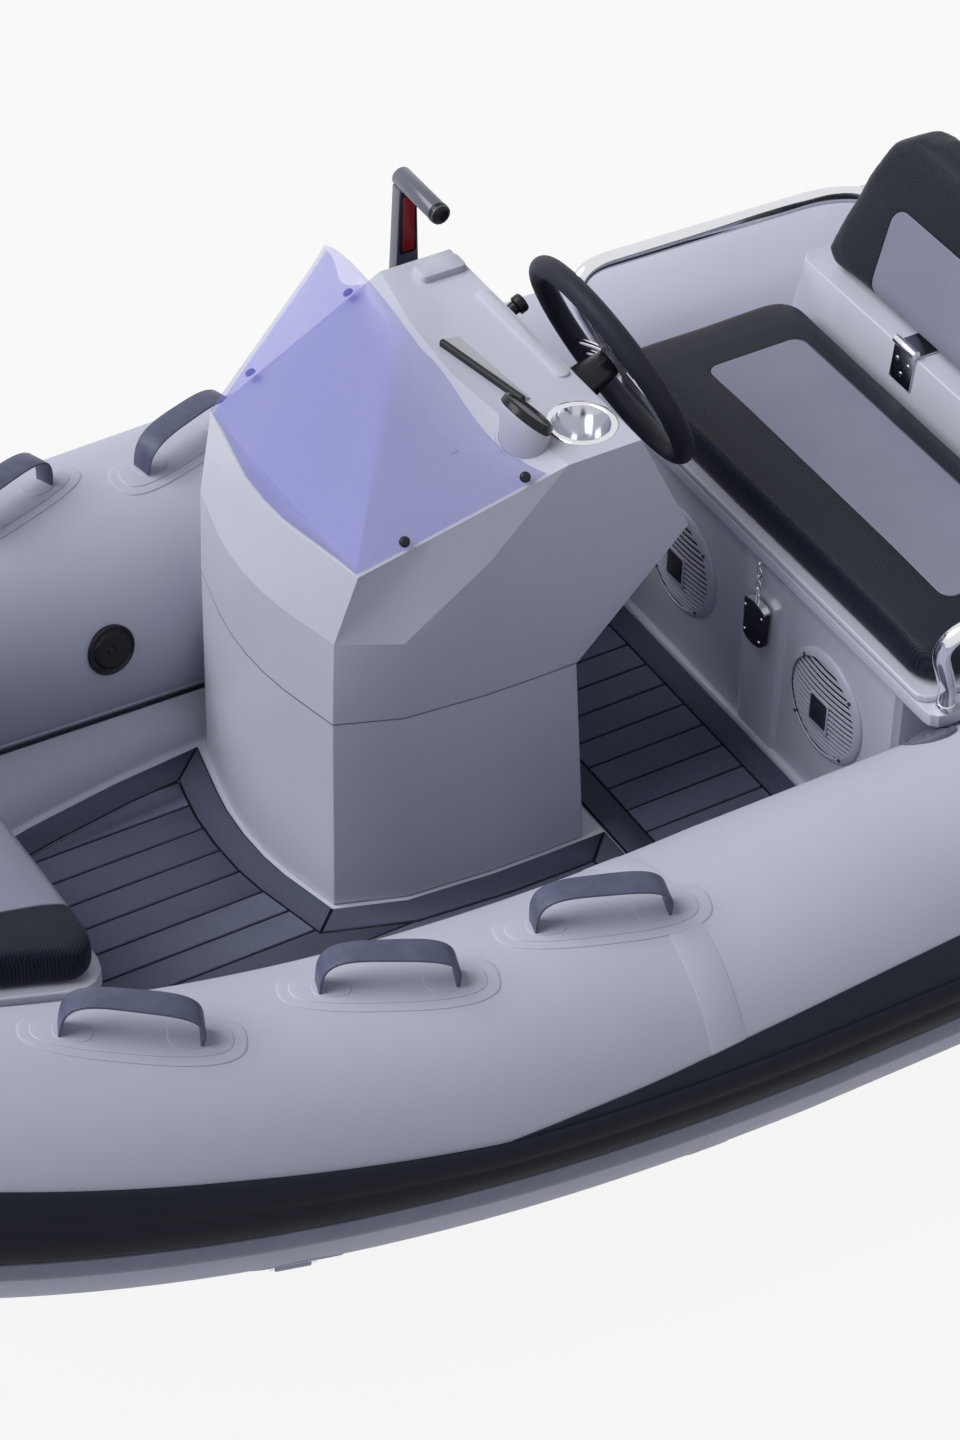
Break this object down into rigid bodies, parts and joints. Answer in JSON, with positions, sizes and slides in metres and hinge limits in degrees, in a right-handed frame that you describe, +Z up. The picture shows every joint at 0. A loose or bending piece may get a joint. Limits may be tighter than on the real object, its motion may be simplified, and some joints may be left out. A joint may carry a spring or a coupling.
{
  "type": "rigid inflatable boat",
  "caption": "Small inflatable tender with a moulded hull, air-filled collar, offset steering console with windshield, folding bench backrest, bow seat and stern rail.",
  "frame": {"origin": "under the middle of the boat, on the level of the keel", "axes": "+X to the bow, +Y to port, +Z up"},
  "size_m": [3.3097, 1.552, 1.171],
  "materials": {
    "collar_fabric": "satin",
    "gelcoat": "gloss",
    "black_rubber": "satin",
    "grey_rubber": "matte",
    "webbing": "matte",
    "deck_foam": "matte",
    "vinyl": "satin",
    "stainless": "polished",
    "acrylic": "gloss",
    "black_plastic": "satin",
    "grey_plastic": "satin",
    "red_plastic": "satin",
    "white_plastic": "satin"
  },
  "bodies": {
    "boat": {"bench_base": "gelcoat", "bow_eye": "stainless", "bow_locker": "gelcoat", "console_base": "gelcoat", "console_cowl": "gelcoat", "cup_holder": "stainless", "deck_liner": "gelcoat", "deck_pad_aft": "deck_foam", "deck_pad_front": "deck_foam", "drain_plug": "black_plastic", "fuel_tank": "red_plastic", "gauge": "black_plastic", "gauge_pod": "gelcoat", "helm_plate": "black_plastic", "hull_shell": "gelcoat", "port_handle_1": "webbing", "port_handle_2": "webbing", "port_handle_3": "webbing", "port_hinge_leaf": "stainless", "port_rail_post": "stainless", "port_speaker": "white_plastic", "port_tube_aft": "collar_fabric", "port_tube_fwd": "collar_fabric", "port_valve_aft": "grey_plastic", "port_valve_fwd": "black_plastic", "rub_band": "grey_rubber", "rub_strake": "black_rubber", "seat_coaming": "gelcoat", "starboard_handle_1": "webbing", "starboard_handle_2": "webbing", "starboard_handle_3": "webbing", "starboard_hinge_leaf": "stainless", "starboard_rail_post": "stainless", "starboard_speaker": "white_plastic", "starboard_tube_aft": "collar_fabric", "starboard_tube_fwd": "collar_fabric", "starboard_valve_aft": "grey_plastic", "starboard_valve_fwd": "black_plastic", "stern_rail": "stainless", "switch_plate": "grey_plastic", "throttle_box": "black_plastic", "transom": "gelcoat", "windshield": "acrylic"},
    "steering_wheel": {"wheel_rim": "black_rubber", "wheel_spokes": "stainless", "wheel_hub": "black_plastic"},
    "throttle": {"throttle_lever": "grey_plastic", "throttle_inset": "red_plastic"},
    "ignition_key": {"key": "black_plastic"},
    "bow_seat_lid": {"bow_lid": "gelcoat", "bow_cushion": "vinyl"},
    "bench_seat_lid": {"bench_lid": "gelcoat", "seat_cushion": "vinyl"},
    "backrest": {"backrest_cushion": "vinyl", "port_hinge_strap": "stainless", "starboard_hinge_strap": "stainless"},
    "tag": {"tag_chain": "stainless", "tag_fob": "black_rubber"},
    "port_ring": {"port_dring": "stainless"},
    "starboard_ring": {"starboard_dring": "stainless"}
  },
  "joints": [
    {"name": "wheel_turn", "type": "hinge", "parent": "boat", "child": "steering_wheel", "pos_m": [-0.385, -0.1545, 0.879], "axis": [-0.9063, 0, 0.4226], "range_deg": [-540, 540]},
    {"name": "throttle_swing", "type": "hinge", "parent": "boat", "child": "throttle", "pos_m": [-0.238, -0.47318, 0.835], "axis": [0, 1, 0], "range_deg": [-50, 35]},
    {"name": "key_turn", "type": "hinge", "parent": "boat", "child": "ignition_key", "pos_m": [-0.30659, -0.3045, 0.89092], "axis": [-0.9076, 0, 0.4198], "range_deg": [0, 60]},
    {"name": "bow_lid_hinge", "type": "hinge", "parent": "boat", "child": "bow_seat_lid", "pos_m": [1.1, 0, 0.4953], "axis": [0, 1, 0], "range_deg": [0, 80]},
    {"name": "bench_lid_hinge", "type": "hinge", "parent": "boat", "child": "bench_seat_lid", "pos_m": [-0.537, 0, 0.6103], "axis": [0, 1, 0], "range_deg": [0, 70]},
    {"name": "backrest_fold", "type": "hinge", "parent": "boat", "child": "backrest", "pos_m": [-0.88274, 0, 0.73544], "axis": [0, -1, 0], "range_deg": [-105, 0]},
    {"name": "tag_swing", "type": "hinge", "parent": "boat", "child": "tag", "pos_m": [-0.535, 0.024, 0.5888], "axis": [1, 0, 0], "range_deg": [-20, 20]},
    {"name": "port_dring_swing", "type": "hinge", "parent": "boat", "child": "port_ring", "pos_m": [0.55269, 0.63554, 0.31433], "axis": [0.9805, -0.1452, 0.1323], "range_deg": [0, 90]},
    {"name": "starboard_dring_swing", "type": "hinge", "parent": "boat", "child": "starboard_ring", "pos_m": [0.55269, -0.63554, 0.31433], "axis": [-0.9805, -0.1452, -0.1323], "range_deg": [0, 90]}
  ]
}
